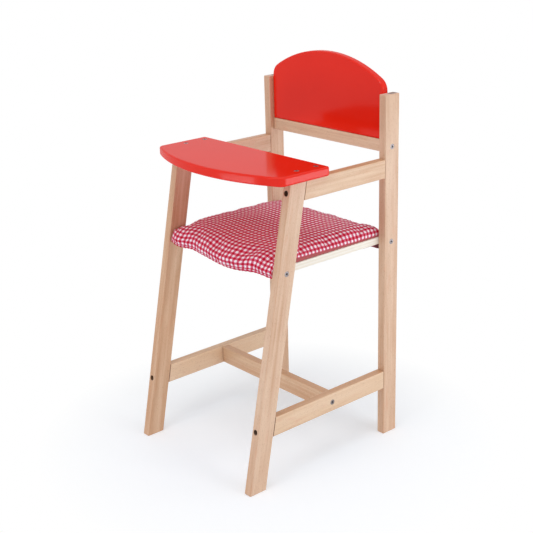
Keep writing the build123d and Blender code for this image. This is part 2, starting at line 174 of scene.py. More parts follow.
class NodeTree:
    """A node tree that is filled one node at a time."""

    def __init__(self, tree):
        self.tree = tree
        tree.nodes.clear()

    def node(self, kind, sockets=None, **settings):
        """Add any node: its settings first, then the values or links of its sockets."""
        node = self.tree.nodes.new(kind)
        for name, value in settings.items():
            if name == "stops":
                ramp = node.color_ramp
                while len(ramp.elements) < len(value):
                    ramp.elements.new(1)
                for element, stop in zip(ramp.elements, value):
                    element.position, element.color = stop
            elif name == "items":
                while len(node.index_switch_items) < value:
                    node.index_switch_items.new()
            else:
                setattr(node, name, value)
        for name, value in (sockets or {}).items():
            several = isinstance(value, list) and hasattr(value[0], "node")
            for item in value if several else [value]:
                if isinstance(item, Signal):
                    item = item.socket
                if isinstance(item, bpy.types.NodeSocket):
                    self.tree.links.new(item, node.inputs[name])
                else:
                    node.inputs[name].default_value = item
        return node

    def out(self, kind, sockets=None, out=0, **settings):
        """Add a node and return one of its outputs."""
        return self.node(kind, sockets, **settings).outputs[out]

    def number(self, kind, sockets=None, out=0, **settings):
        """Add a node and return one of its outputs as a number."""
        return Signal(self.tree, self.out(kind, sockets, out, **settings))

    def part(self, vector, axis):
        """One of the three numbers of a vector."""
        return self.number("ShaderNodeSeparateXYZ", {"Vector": vector}, axis)

    def vector(self, **parts):
        """A vector from its X, Y and Z."""
        return self.out("ShaderNodeCombineXYZ", parts)


class Finish(NodeTree):
    """A material's tree, with the place of a point on the piece or on its own map."""

    def __init__(self, name, uv_map=None):
        self.material = bpy.data.materials.new(name)
        self.material.use_nodes = True
        super().__init__(self.material.node_tree)
        if uv_map:
            self.where = self.out("ShaderNodeUVMap", uv_map=uv_map)
        else:
            coordinates = self.node("ShaderNodeTexCoord").outputs
            self.where, self.facing = coordinates["Object"], coordinates["Normal"]

    def noise(self, where, scale, detail, **more):
        """Noise of this scale as a number about 0.5."""
        sockets = {"Vector": where, "Scale": scale, "Detail": detail, **more}
        return self.number("ShaderNodeTexNoise", sockets)

    def mix(self, share, first, second, blend="MIX"):
        """Blend two colours by a share."""
        colours = {0: share, 6: first, 7: second}
        return self.out("ShaderNodeMix", colours, 2, data_type="RGBA", blend_type=blend)

    def close(self, sockets, height=None, depth=0.0):
        """Close the tree with a Principled shader, and a bump if there is a height."""
        if height is not None:
            bump = self.out("ShaderNodeBump", {"Height": height, "Distance": depth})
            sockets = {**sockets, "Normal": bump}
        return self.show(self.out("ShaderNodeBsdfPrincipled", sockets))

    def show(self, shader):
        """Put a shader on the material's surface."""
        self.node("ShaderNodeOutputMaterial", {"Surface": shader})
        return self.material


class Shape(NodeTree):
    """A Geometry Nodes tree with named inputs."""

    def __init__(self, name, **inputs):
        super().__init__(bpy.data.node_groups.new(name, "GeometryNodeTree"))
        sides = self.tree.interface
        sides.new_socket("Geometry", in_out="INPUT", socket_type="NodeSocketGeometry")
        sides.new_socket("Geometry", in_out="OUTPUT", socket_type="NodeSocketGeometry")
        for kind, labels in inputs.items():
            for label in labels:
                sides.new_socket(label, in_out="INPUT", socket_type=f"NodeSocket{kind}")
        self.inputs = self.tree.nodes.new("NodeGroupInput").outputs

    def size(self, label):
        """A named input as a number."""
        return Signal(self.tree, self.inputs[label])

    def swept(self, line, sides, radius, scale=1.0):
        """A closed round bar along a line."""
        ring = self.out("GeometryNodeCurvePrimitiveCircle", {"Resolution": sides, "Radius": radius})
        bar = {"Curve": line, "Profile Curve": ring, "Scale": scale, "Fill Caps": True}
        return self.out("GeometryNodeCurveToMesh", bar)

    def chance(self, low, high):
        """A random number for each point, by the tree's own Seed."""
        sockets = {2: low, 3: high, "Seed": self.inputs["Seed"]}
        return self.number("FunctionNodeRandomValue", sockets, 1, data_type="FLOAT")

    def spun(self, rotation, spin):
        """A rotation with a spin about its own axes before it."""
        sockets = {"Rotation": rotation, "Rotate By": spin}
        return self.out("FunctionNodeRotateRotation", sockets, rotation_space="LOCAL")

    def scatter(self, points, instance, rotation):
        """Set an instance at each point, realize all, give them their material and end."""
        sockets = {"Points": points, "Instance": instance, "Rotation": rotation}
        placed = self.out("GeometryNodeInstanceOnPoints", sockets)
        real = self.out("GeometryNodeRealizeInstances", {0: placed})
        sockets = {"Geometry": real, "Material": self.inputs["Material"]}
        self.node("NodeGroupOutput", {"Geometry": self.out("GeometryNodeSetMaterial", sockets)})
        return self

    def grow(self, name, carrier, values):
        """Run the tree on a carrier mesh and keep the result as a plain mesh."""
        host = add_object(name, carrier)
        growth = host.modifiers.new(name, "NODES")
        growth.node_group = self.tree
        for item in self.tree.interface.items_tree:
            if item.in_out == "INPUT" and item.name in values:
                growth[item.identifier] = values[item.name]
        return settle(host)


def settle(host):
    """Turn an object's evaluated shape into its plain mesh and drop its modifiers."""
    seen = host.evaluated_get(bpy.context.evaluated_depsgraph_get())
    mesh = bpy.data.meshes.new_from_object(seen)
    host.modifiers.clear()
    host.data = mesh
    return host


def dress(piece, material):
    """Give a piece one material in all its slots."""
    piece.data.materials.clear()
    piece.data.materials.append(material)


print("shader tools ready")

# %% [markdown]
# ## Beech
#
# The legs, posts and rails are planed beech with a clear satin lacquer. What makes it
# beech is not a strong figure but three quiet things: a pinkish tan that drifts along
# the board, soft streaks that run with the grain, and thousands of short dark flecks,
# each a few millimetres long. The ends of a board show pores instead of flecks. All of
# it is built in coordinates that are turned until Z runs along the grain, so the same
# recipe serves an upright post, a leaning leg and a level rail.

# %% Beech for one direction of grain
BEECH_LIGHT = "F1D6C1"
BEECH_MAIN = "E4C2A6"
BEECH_DEEP = "CB9B79"
BEECH_FLECK = "A87850"
BEECH_PATCH = "D99A76"
BEECH_END = "ECCABF"
# The dark of a joint line: partly glue, partly painted shade in the gap between boards
JOINT_GLUE_SHADE = "6E4232"
JOINT_WIDTH = 0.8 * MM
# The dark of a counterbore wall: partly darker end grain, partly painted shade in the hole
BORE_SHADE_BROWN = "3A2216"
BORE_DEPTH = 15 * MM
BORE_HALF_WIDTH = 4.4 * MM
YELLOWED = (1.0, 0.985, 0.9, 1.0)
# How much deeper in tone faces that look up are made: painted shade, for the light tops lack from above
UPPER_SHADE = 0.42
STREAK_PITCH = 1.5 * MM
STREAK_LENGTH = 160 * MM
FLECK_PITCH = 0.7 * MM
FLECK_LENGTH = 3.2 * MM
PALE_TONE = 0.2
DEPTH_TONE = 0.5
DRIFT_SHARE = 0.8
FIGURE_SHARE = 0.45
STREAK_SHARE = 0.4
LINE_SHARE = 0.3


def beech(name, turn, place, depth, yellow, joints, bored=None, front_shade=0.0):
    """Beech whose grain runs along Z once a piece's coordinates are turned.

    place shifts the pattern, so that no two boards are alike. depth slides the board
    from pale at 0 to tan at 1, and yellow from pinkish at 0 to straw at 1. joints are
    the planes where the board meets another, each as an inward direction and a distance,
    and a thin dark line lies along each: partly glue, partly painted shade in the gap.
    bored is the face that screws are sunk in, in the same form, with their own x; the
    walls of its counterbores are darkened, partly darker end grain, partly painted shade.
    The last argument darkens the front face: painted shade, where that face takes less
    light.
    """
    wood = Finish(name)
    turned = wood.out("ShaderNodeMapping", {"Vector": wood.where, "Rotation": turn, "Location": place})

    def pattern(pitch, length, detail):
        """Noise in cells of this pitch across the grain and this length along it."""
        cells = {"Vector": turned, "Scale": (1 / pitch, 1 / pitch, 1 / length)}
        return wood.noise(wood.out("ShaderNodeMapping", cells), 1.0, detail)

    def behind(inward, start):
        """How far a point is behind a plane."""
        sides = {0: wood.where, 1: inward}
        return wood.number("ShaderNodeVectorMath", sides, 1, operation="DOT_PRODUCT") - start

    drift = pattern(18 * MM, 300 * MM, 2.0)
    patch = pattern(9 * MM, 26 * MM, 2.0).ramp(0.58, 5)
    figure = pattern(5 * MM, 60 * MM, 1.0)
    streak = pattern(STREAK_PITCH, STREAK_LENGTH, 3.0)
    line = pattern(STREAK_PITCH / 3, STREAK_LENGTH / 2, 2.0)
    fleck = pattern(FLECK_PITCH, FLECK_LENGTH, 1.0).ramp(0.62, 9)
    pore = pattern(FLECK_PITCH / 2, FLECK_PITCH / 2, 1.0).ramp(0.6, 8)

    turned_facing = {"Vector": wood.facing, "Rotation": turn}
    turned_facing = wood.out("ShaderNodeVectorRotate", turned_facing, rotation_type="EULER_XYZ")
    end_grain = wood.part(turned_facing, 2).to("ABSOLUTE").ramp(0.8, 6)
    # Faces that look up are made deeper in tone: painted shade, as less light falls on tops
    upper = wood.part(wood.facing, 2).ramp(0.7, 5) * UPPER_SHADE
    # The front face is darkened by the last argument: painted shade, where that face takes less light
    front = (0 - wood.part(wood.facing, 1)).ramp(0.5, 4) * front_shade

    tone = PALE_TONE + depth * DEPTH_TONE
    shares = (drift, DRIFT_SHARE), (figure, FIGURE_SHARE), (streak, STREAK_SHARE), (line, LINE_SHARE)
    for noise, share in shares:
        tone = tone + (noise - 0.5) * share
    tone = tone + upper + front
    body = wood.out("ShaderNodeValToRGB", {"Fac": tone}, stops=[
        (0.0, linear(BEECH_LIGHT)), (0.5, linear(BEECH_MAIN)), (1.0, linear(BEECH_DEEP)),
    ])
    body = wood.mix(yellow, body, YELLOWED, "MULTIPLY")
    body = wood.mix(patch * 0.35, body, linear(BEECH_PATCH))
    flecked = wood.mix(fleck * 0.45, body, linear(BEECH_FLECK))
    ended = wood.mix(pore * 0.3 + 0.6, flecked, linear(BEECH_END))
    colour = wood.mix(end_grain, flecked, ended)
    # A thin dark line along each joint: partly glue, partly painted shade in the gap
    for inward, start in joints:
        near = (1.4 - behind(inward, start) / JOINT_WIDTH).clamped()
        colour = wood.mix(near * 0.8, colour, linear(JOINT_GLUE_SHADE))
    # Counterbore walls are darkened: partly darker end grain, partly painted shade in the hole
    if bored:
        inward, start, middle_x = bored
        sunk = behind(inward, start)
        beside = (wood.part(wood.where, 0) - middle_x).to("ABSOLUTE") - BORE_HALF_WIDTH
        bore_shade = ((sunk - 0.3 * MM) / (0.4 * MM)).clamped() * ((BORE_DEPTH - sunk) / MM).clamped()
        bore_shade = bore_shade * (beside / (-0.3 * MM)).clamped()
        colour = wood.mix(bore_shade * 0.75, colour, linear(BORE_SHADE_BROWN))
    rough = 0.42 + (streak - 0.5) * 0.15 + end_grain * 0.2
    height = (line - 0.5) * 0.4 - fleck * 0.6 - end_grain * pore
    lacquered = {"Base Color": colour, "Roughness": rough, "Coat Weight": 0.1, "Coat Roughness": 0.25}
    return wood.close(lacquered, height, 0.05 * MM)


# %% Read the lean of the legs from the frame
END_BAND = 2 * MM


def points_of(mesh):
    """A mesh's points as an array."""
    points = np.empty(len(mesh.vertices) * 3)
    mesh.vertices.foreach_get("co", points)
    return points.reshape(-1, 3)


leg_points = points_of(nodes["front_leg_left"].data)
leg_low, leg_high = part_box("front_leg_left")
foot = leg_points[leg_points[:, 2] < END_BAND, 1]
foot_front, foot_rear = foot.min(), foot.max()
leg_top = leg_points[:, 2].max()
top_front = leg_points[leg_points[:, 2] > leg_top - END_BAND, 1].min()
lean = math.atan2(top_front - foot_front, leg_top)
print("the legs lean", round(math.degrees(lean), 2), "degrees")

# %% Dress every beech board
UPRIGHT = (0.0, 0.0, 0.0)
LEANING = (lean, 0.0, 0.0)
LEVEL_BACK = (math.radians(90), 0.0, 0.0)
LEVEL_ACROSS = (0.0, math.radians(-90), 0.0)
INTO_LEG = (0, math.cos(lean), -math.sin(lean))
BEHIND_LEG = (INTO_LEG, foot_rear * math.cos(lean))
LEG_FACE = (INTO_LEG, foot_front * math.cos(lean))
POST_FACE = ((0, -1, 0), -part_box("rear_post_left")[1].y)
FRAME_X = (leg_low.x + leg_high.x) / 2


def between(name, axis):
    """The two end planes of a board that spans between others along an axis."""
    low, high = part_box(name)
    ahead = np.eye(3)[axis]
    return [(tuple(ahead), low[axis]), (tuple(-ahead), -high[axis])]


def from_leg_back(name):
    """The two end planes of a rail that runs from a leg back to a post."""
    return [BEHIND_LEG, between(name, 1)[1]]


# Each board's grain, depth, yellow and joints, then its bored face and its painted front shade
DOWEL = (0.4, 0.5, [])
BOARDS = {
    "front_leg_left": (LEANING, 0.92, 0.0, [], (*LEG_FACE, FRAME_X), 0.12),
    "front_leg_right": (LEANING, 1.3, 0.55, [], (*LEG_FACE, -FRAME_X)),
    "rear_post_left": (UPRIGHT, 1.0, 0.0, [], (*POST_FACE, FRAME_X)),
    "rear_post_right": (UPRIGHT, 0.95, 0.3, [], (*POST_FACE, -FRAME_X)),
    "armrest_left": (LEVEL_BACK, 0.95, 0.8, from_leg_back("armrest_left")),
    "armrest_right": (LEVEL_BACK, 0.8, 0.4, from_leg_back("armrest_right")),
    "side_stretcher_left": (LEVEL_BACK, 0.44, 0.85, from_leg_back("side_stretcher_left")),
    "side_stretcher_right": (LEVEL_BACK, 0.4, 0.8, from_leg_back("side_stretcher_right")),
    "cross_stretcher": (LEVEL_ACROSS, 1.05, 0.85, between("cross_stretcher", 0)),
    "back_rail": (LEVEL_ACROSS, 0.55, 0.5, between("back_rail", 0)),
    "side_frame_dowels": (LEVEL_BACK, *DOWEL),
    "cross_stretcher_dowels": (LEVEL_ACROSS, *DOWEL),
    "backrest_base_dowels": (UPRIGHT, *DOWEL),
    "backrest_side_dowels": (LEVEL_ACROSS, *DOWEL),
}
# How far a board's pattern is slid, until its pale stretch lies where it should
SLIDES = {"front_leg_left": (0, 0, 0.15)}
board_dice = np.random.default_rng(7)
for board, (turn, *form) in BOARDS.items():
    place = tuple(board_dice.uniform(0, 3, 3) + SLIDES.get(board, 0))
    dress(nodes[board], beech(f"beech_{board}", turn, place, *form))
print("boards dressed:", len(BOARDS))

# %% [markdown]
# ## Red lacquer
#
# The tray and the backrest are sprayed with an opaque red lacquer, thick enough to round
# every edge. Two layers of shader match two layers of paint: a fairly rough red body,
# and a clear coat that reflects the room softly. Sprayed lacquer is never quite flat.
# Its orange peel is a shallow bump a few millimetres wide, just enough to make a
# reflection swim.

# %% Red lacquer
LACQUER_RED = "F22A16"
LACQUER_DEEP = "EA2210"
PEEL_PITCH = 5 * MM
PEEL_DEPTH = 0.02 * MM
LACQUERED = ("tray", "backrest_panel")


def red_lacquer():
    """Opaque red paint under a soft clear coat."""
    paint = Finish("red_lacquer")
    peel = paint.noise(paint.where, 1 / PEEL_PITCH, 1.0)
    cloud = paint.noise(paint.where, 14.0, 2.0)
    return paint.close({
        "Base Color": paint.mix(cloud, linear(LACQUER_RED), linear(LACQUER_DEEP)),
        "Roughness": 0.3 + cloud * 0.08, "Specular IOR Level": 0.0,
        "Coat Weight": 0.45, "Coat Roughness": 0.12,
    }, peel, PEEL_DEPTH)


lacquer = red_lacquer()
for board in LACQUERED:
    dress(nodes[board], lacquer)
print("lacquered:", *LACQUERED)

# %% [markdown]
# ## The seat board
#
# Under the cushion is a plain pale board. Seen from the side it is plywood: thin layers
# with their grain turned in turn, so every second layer shows end grain and looks a
# little darker. The layers are counted from the board's own box, and show only where
# the surface faces sideways.

# %% Pale plywood
PLY_FACE = "F6F0E4"
PLY_LONG = "F8F2E8"
PLY_END = "F1E8D9"
PLY_LAYERS = 5
PLY_GRAIN = (400, 12, 900)


def pale_ply(low, high):
    """Plywood with its layers between two heights."""
    ply = Finish("pale_ply")
    layer = (ply.part(ply.where, 2) - low) / (high - low) * PLY_LAYERS
    odd = ((layer.to("PINGPONG", 1.0) - 0.5) * 6 + 0.5).clamped()
    grain = ply.noise(ply.out("ShaderNodeMapping", {"Vector": ply.where, "Scale": PLY_GRAIN}), 1.0, 3.0)
    edge = ((0.7 - ply.part(ply.facing, 2).to("ABSOLUTE")) * 6).clamped()
    layers = ply.mix(odd, linear(PLY_LONG), linear(PLY_END))
    face = ply.mix(grain * 0.35, linear(PLY_FACE), linear(PLY_END))
    colour = ply.mix(edge, face, ply.mix(grain * 0.25, layers, linear(PLY_END)))
    return ply.close({"Base Color": colour, "Roughness": 0.5 + grain * 0.1}, grain, 0.05 * MM)


board_low, board_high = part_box("seat_board")
dress(nodes["seat_board"], pale_ply(board_low.z, board_high.z))
print("seat board:", round((board_high.z - board_low.z) / MM, 1), "mm in", PLY_LAYERS, "layers")

# %% [markdown]
# ## Screws
#
# Twenty screws hold the chair together, and all are driven with a hexagon key. Those
# through the tray and the sides have flat countersunk heads. The ones that draw the
# frames together have cheese heads at the bottom of their counterbores. A screw is
# turned from one outline, with a hexagon cut out of its head and a thread wound about
# its core. That is a rule, so Geometry Nodes make it: one tree with named sizes, and one
# point with an outward direction for each screw, read from the CAD screws themselves.
# A seeded spin turns each hexagon its own way, as a real screwdriver leaves it.

# %% Find every screw in the frame
def islands_of(name):
    """The separate solids of a CAD node, each as an array of points."""
    copy = bmesh.new()
    copy.from_mesh(nodes[name].data)
    bmesh.ops.remove_doubles(copy, verts=copy.verts, dist=MM / 1000)
    left, groups = dict.fromkeys(copy.verts), []
    while left:
        edge, group = [left.popitem()[0]], []
        while edge:
            point = edge.pop()
            group.append(point.co.copy())
            for link in point.link_edges:
                other = link.other_vert(point)
                if other in left:
                    del left[other]
                    edge.append(other)
        groups.append(np.array(group))
    copy.free()
    return groups


def measure_screw(points):
    """Where a screw's head is, which way it looks, and how long and wide the screw is."""
    low, high = points.min(axis=0), points.max(axis=0)
    axis = int(np.argmax(high - low))
    middle = (low + high) / 2
    flat = np.delete(points - middle, axis, axis=1)
    reach = np.hypot(flat[:, 0], flat[:, 1])
    at_head = points[reach > reach.max() * 0.95, axis].mean()
    outward, top = np.zeros(3), middle.copy()
    outward[axis] = 1.0 if at_head > middle[axis] else -1.0
    top[axis] = high[axis] if at_head > middle[axis] else low[axis]
    return top, outward, (high - low)[axis], reach.max() * 2


# %% One tree for both kinds of screw
SCREW_SIDES = 32
SCREW_BEVEL = 0.25 * MM
THREAD_SHARE = 0.16
THREAD_PITCH = 1.6 * MM
THREAD_STEPS = 14
THREAD_SIDES = 5
THREAD_SINK = 1.7
TIP_SHARE = 1.6
TIP_TAPER = 0.35


def screw_tree():
    """A screw that hangs below zero with its head up, set at each point of the carrier."""
    tree = Shape("screw", Float=[
        "Head diameter", "Rim", "Cone height", "Shank diameter", "Length", "Neck",
        "Socket width", "Socket depth",
    ], Int=["Seed"], Material=["Material"])
    head, shank = tree.size("Head diameter") / 2, tree.size("Shank diameter") / 2
    rim, length = tree.size("Rim"), tree.size("Length")
    under = rim + tree.size("Cone height")
    neck_end = under + tree.size("Neck")
    tip = shank * TIP_SHARE
    thread = shank * THREAD_SHARE
    core = shank - thread * THREAD_SINK

    def turned(outline, sides):
        """A round solid about Z, through pairs of a depth below the head's face and a radius."""
        line = tree.out("GeometryNodeCurvePrimitiveLine", {"Start": (0, 0, -1), "End": (0, 0, 0)})
        line = tree.out("GeometryNodeResampleCurve", {"Curve": line, "Count": len(outline)}, mode="COUNT")
        index = tree.out("GeometryNodeInputIndex")
        depth, radius = (
            tree.number("GeometryNodeIndexSwitch", {"Index": index, **dict(enumerate(values, 1))},
                        data_type="FLOAT", items=len(outline)) for values in zip(*outline[::-1])
        )
        place = {"Geometry": line, "Position": tree.vector(Z=0 - depth)}
        return tree.swept(tree.out("GeometryNodeSetPosition", place), sides, 1.0, radius)

    body = turned([
        (0.0, head - SCREW_BEVEL), (SCREW_BEVEL, head), (rim, head), (under, shank), (neck_end, shank),
        (neck_end + SCREW_BEVEL, core), (length - tip, core), (length, core * TIP_TAPER),
    ], SCREW_SIDES)
    hexagon = tree.size("Socket width") / math.sqrt(3)
    socket = turned([(-MM, hexagon), (tree.size("Socket depth"), hexagon)], 6)
    body = tree.out("GeometryNodeMeshBoolean", {"Mesh 1": body, "Mesh 2": [socket]},
                    operation="DIFFERENCE", solver="EXACT")
    run = length - tip - neck_end
    winding = tree.out("GeometryNodeCurveSpiral", {
        "Resolution": THREAD_STEPS, "Rotations": run / THREAD_PITCH, "Start Radius": shank - thread,
        "End Radius": shank - thread, "Height": run,
    })
    lowered = {"Geometry": winding, "Translation": tree.vector(Z=tip - length)}
    ridge = tree.swept(tree.out("GeometryNodeTransform", lowered), THREAD_SIDES, thread)
    screw = tree.out("GeometryNodeJoinGeometry", {0: [body, ridge]})

    outward = tree.out("GeometryNodeInputNamedAttribute", {"Name": "outward"}, data_type="FLOAT_VECTOR")
    turn = tree.out("FunctionNodeAlignRotationToVector", {"Vector": outward}, axis="Z")
    turn = tree.spun(turn, tree.vector(Z=tree.chance(0.0, math.tau)))
    return tree.scatter(tree.inputs["Geometry"], screw, turn)


screw = screw_tree()
print("screw tree has", len(screw.tree.nodes), "nodes")

# %% Zinc-plated and dark steel
def plated_steel(name, light, dull):
    """Plated steel with a little clouding."""
    steel = Finish(name)
    cloud, grit = steel.noise(steel.where, 900.0, 3.0), steel.noise(steel.where, 4000.0, 1.0)
    colour = steel.mix(cloud, linear(dull), linear(light))
    sockets = {"Base Color": colour, "Metallic": 1.0, "Roughness": 0.28 + cloud * 0.2}
    return steel.close(sockets, grit, 0.01 * MM)


zinc_steel = plated_steel("zinc_steel", "A8A0A0", "706A6A")
dark_steel = plated_steel("dark_steel", "34302E", "1A1716")

# %% Make each group of screws
FLAT_HEAD = {"Rim": 0.5 * MM, "Cone height": 2.1 * MM, "Neck": 3 * MM}
CHEESE_HEAD = {"Rim": 3.3 * MM, "Cone height": 0.2 * MM, "Neck": 12 * MM}
SOCKET = {"Socket width": 3 * MM, "Socket depth": 1.8 * MM}
STEEL_CREASE = math.radians(35)
SCREW_GROUPS = {
    "tray_screws": (FLAT_HEAD, 4 * MM, zinc_steel),
    "seat_screws": (FLAT_HEAD, 4.5 * MM, zinc_steel),
    "back_rail_screws": (FLAT_HEAD, 4.5 * MM, zinc_steel),
    "cross_stretcher_screws": (FLAT_HEAD, 4.5 * MM, zinc_steel),
    "front_leg_screws": (CHEESE_HEAD, 5 * MM, dark_steel),
    "rear_post_screws": (CHEESE_HEAD, 5 * MM, dark_steel),
}
for seed, (group, (head_form, shank, steel)) in enumerate(SCREW_GROUPS.items()):
    tops, outwards, lengths, widths = zip(*(measure_screw(points) for points in islands_of(group)))
    carrier = bpy.data.meshes.new(group)
    carrier.from_pydata(tops, [], [])
    ways = carrier.attributes.new("outward", "FLOAT_VECTOR", "POINT")
    ways.data.foreach_set("vector", np.concatenate(outwards))
    made = screw.grow(f"{group}_steel", carrier, {
        **head_form, **SOCKET, "Shank diameter": shank, "Length": lengths[0], "Head diameter": widths[0],
        "Seed": seed, "Material": steel,
    })
    made.data.set_sharp_from_angle(angle=STEEL_CREASE)
    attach(made, "root")
    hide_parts(group)
    print(group, len(tops), "of", round(lengths[0] / MM, 1), "mm,", len(made.data.polygons), "faces")

# %% [markdown]
# ## The seat cushion
#
# The cushion is two panels of gingham sewn together all round and turned right side out,
# with soft wadding inside. Its top panel swells over the seat board, rolls over the
# sides to a seam low beside the board, and turns down over the board's front edge. A
# sculpted block would show none of the slack of sewn cloth, so the two panels are laid
# out as one grid whose every row and column is a line of the weave. Then Cloth with a
# little pressure fills the cover, pinned where the seam and the board hold it.

# %% The cushion's outline, from the frame
cover_low, cover_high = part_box("cushion_cover")
SIDE_LIMIT = cover_high.x
FLOOR_Z = board_high.z + 0.3 * MM
LAP_Y = board_low.y - 0.3 * MM
REAR_Y = cover_high.y - 0.6 * MM
EDGE_TOP_Z = FLOOR_Z + 10.6 * MM
CROWN = 5.2 * MM
CELL = 3 * MM
SIDE_RADIUS = 9 * MM
SIDE_CURL = math.radians(97)
SIDE_ROOM = 2.4 * MM
SEAM_SHARES = (0.12, 0.6)
SEAM_BEND = 1.4
# Across the cushion from the sitter's right to their left: place, how far the front
# flap bulges and hangs, and how much of the crown is there
FRONT_FORM = (
    (-1, 0.15, 0.0), (-0.95, 0.4, 0.3), (-0.87, 0.58, 0.55), (-0.76, 0.6, 0.72), (-0.65, 0.38, 0.84),
    (-0.55, 0.29, 0.92), (-0.4, 0.48, 0.98), (-0.2, 0.73, 1), (0, 1.0, 1), (0.25, 1.07, 1),
    (0.42, 0.85, 0.97), (0.55, 0.56, 0.92), (0.65, 0.36, 0.84), (0.78, 0.32, 0.7), (0.88, 0.36, 0.52),
    (0.95, 0.36, 0.3), (1, 0.3, 0.0),
)
FRONT_THICKNESS = 4 * MM
FRONT_BULGE = 10 * MM
HEM_DROP = 6 * MM
HEM_HANG = 1.2 * MM
SEAM_LIFT = 4.2 * MM
CHECK_SHIFT = 1.6 * MM
UNDER_SHIFT = (1.7 * MM, 2.3 * MM)
UNDER_LIFT = 4 * MM
CURL_STEPS = 50
LINE_STEPS = 600
print("cushion cover:", round((cover_high.x - cover_low.x) / MM), "mm wide")


# %% Smooth curves through a few points
def smooth(places, values, at):
    """Values between given places, on a curve with no corners or overshoot."""
    places, values = np.asarray(places, float), np.asarray(values, float)
    slopes = np.gradient(values, places, axis=0)
    index = np.clip(np.searchsorted(places, at) - 1, 0, len(places) - 2)
    span = places[index + 1] - places[index]
    share = (at - places[index]) / span
    shape = (len(at),) + (1,) * (values.ndim - 1)
    share, span = share.reshape(shape), span.reshape(shape)
    return (
        values[index] * (1 + 2 * share) * (1 - share) ** 2
        + values[index + 1] * share**2 * (3 - 2 * share)
        + slopes[index] * span * share * (1 - share) ** 2
        - slopes[index + 1] * span * share**2 * (1 - share)
    )


def lengths_along(points):
    """The length of a line up to each of its points."""
    return np.concatenate([[0], np.cumsum(np.linalg.norm(np.diff(points, axis=0), axis=1))])


def evened(line, fine_count, count):
    """A smooth line through its control points at evenly spaced lengths, and its length."""
    knots = np.linspace(0, 1, len(line))
    shares = np.linspace(0, 1, fine_count)
    along = lengths_along(smooth(knots, line, shares))
    return smooth(knots, line, np.interp(np.linspace(0, along[-1], count), along, shares)), along[-1]


# %% Lay out the two panels
def long_lines(bulge, crown, inset, flap):
    """The top and the under line of the cushion from rear seam to front seam, as (y, z)."""
    hem = board_low.z - HEM_HANG - bulge * HEM_DROP
    rear, lap = REAR_Y - inset, LAP_Y
    shoulder = lap + 10 * MM
    top, low = EDGE_TOP_Z - inset, FLOOR_Z + inset
    front = lap - FRONT_THICKNESS - bulge * FRONT_BULGE
    middle = (rear + shoulder) / 2
    rise = crown * CROWN
    upper = [
        (rear, low + 3 * MM), (rear - 1.4 * MM, top - 2.6 * MM), (rear - 5 * MM, top - 0.3 * MM),
        (rear - 20 * MM, top + rise * 0.38), ((rear + middle) / 2, top + rise * 0.82),
        (middle, top + rise), ((middle + shoulder) / 2, top + rise * 0.8),
        (shoulder + 12 * MM, top + rise * 0.34),
    ]
    under = [
        (rear, low + 3 * MM), (rear - 0.8 * MM, low + 1 * MM), (rear - 3 * MM, low), (rear - 20 * MM, low),
        ((rear + middle) / 2, low), (middle, low), ((middle + shoulder) / 2, low), (shoulder + 8 * MM, low),
    ]
    if flap:
        seam = (front + bulge * 2.6 * MM, hem + SEAM_LIFT)
        upper += [
            (shoulder, top - 0.4 * MM), (lap - 1 * MM - bulge * 3 * MM, top - 4.5 * MM),
            (front, low - 2 * MM), (front + bulge * 1.2 * MM, hem + SEAM_LIFT + 2.5 * MM), seam,
        ]
        under += [
            (lap + 3 * MM, low), (lap - 0.2 * MM, low - 0.8 * MM), (lap, hem + 2 * MM),
            (lap - 1.4 * MM, hem + 0.2 * MM), ((front + lap) / 2 - 1 * MM, hem + 0.2 * MM), seam,
        ]
    else:
        seam = (shoulder, (top + low) / 2)
        upper += [(shoulder + 3 * MM, top - 0.3 * MM), (shoulder + 0.6 * MM, top - 2.6 * MM), seam]
        under += [(shoulder + 3 * MM, low), (shoulder + 0.6 * MM, low + 1.5 * MM), seam]
    return np.array(upper), np.array(under)


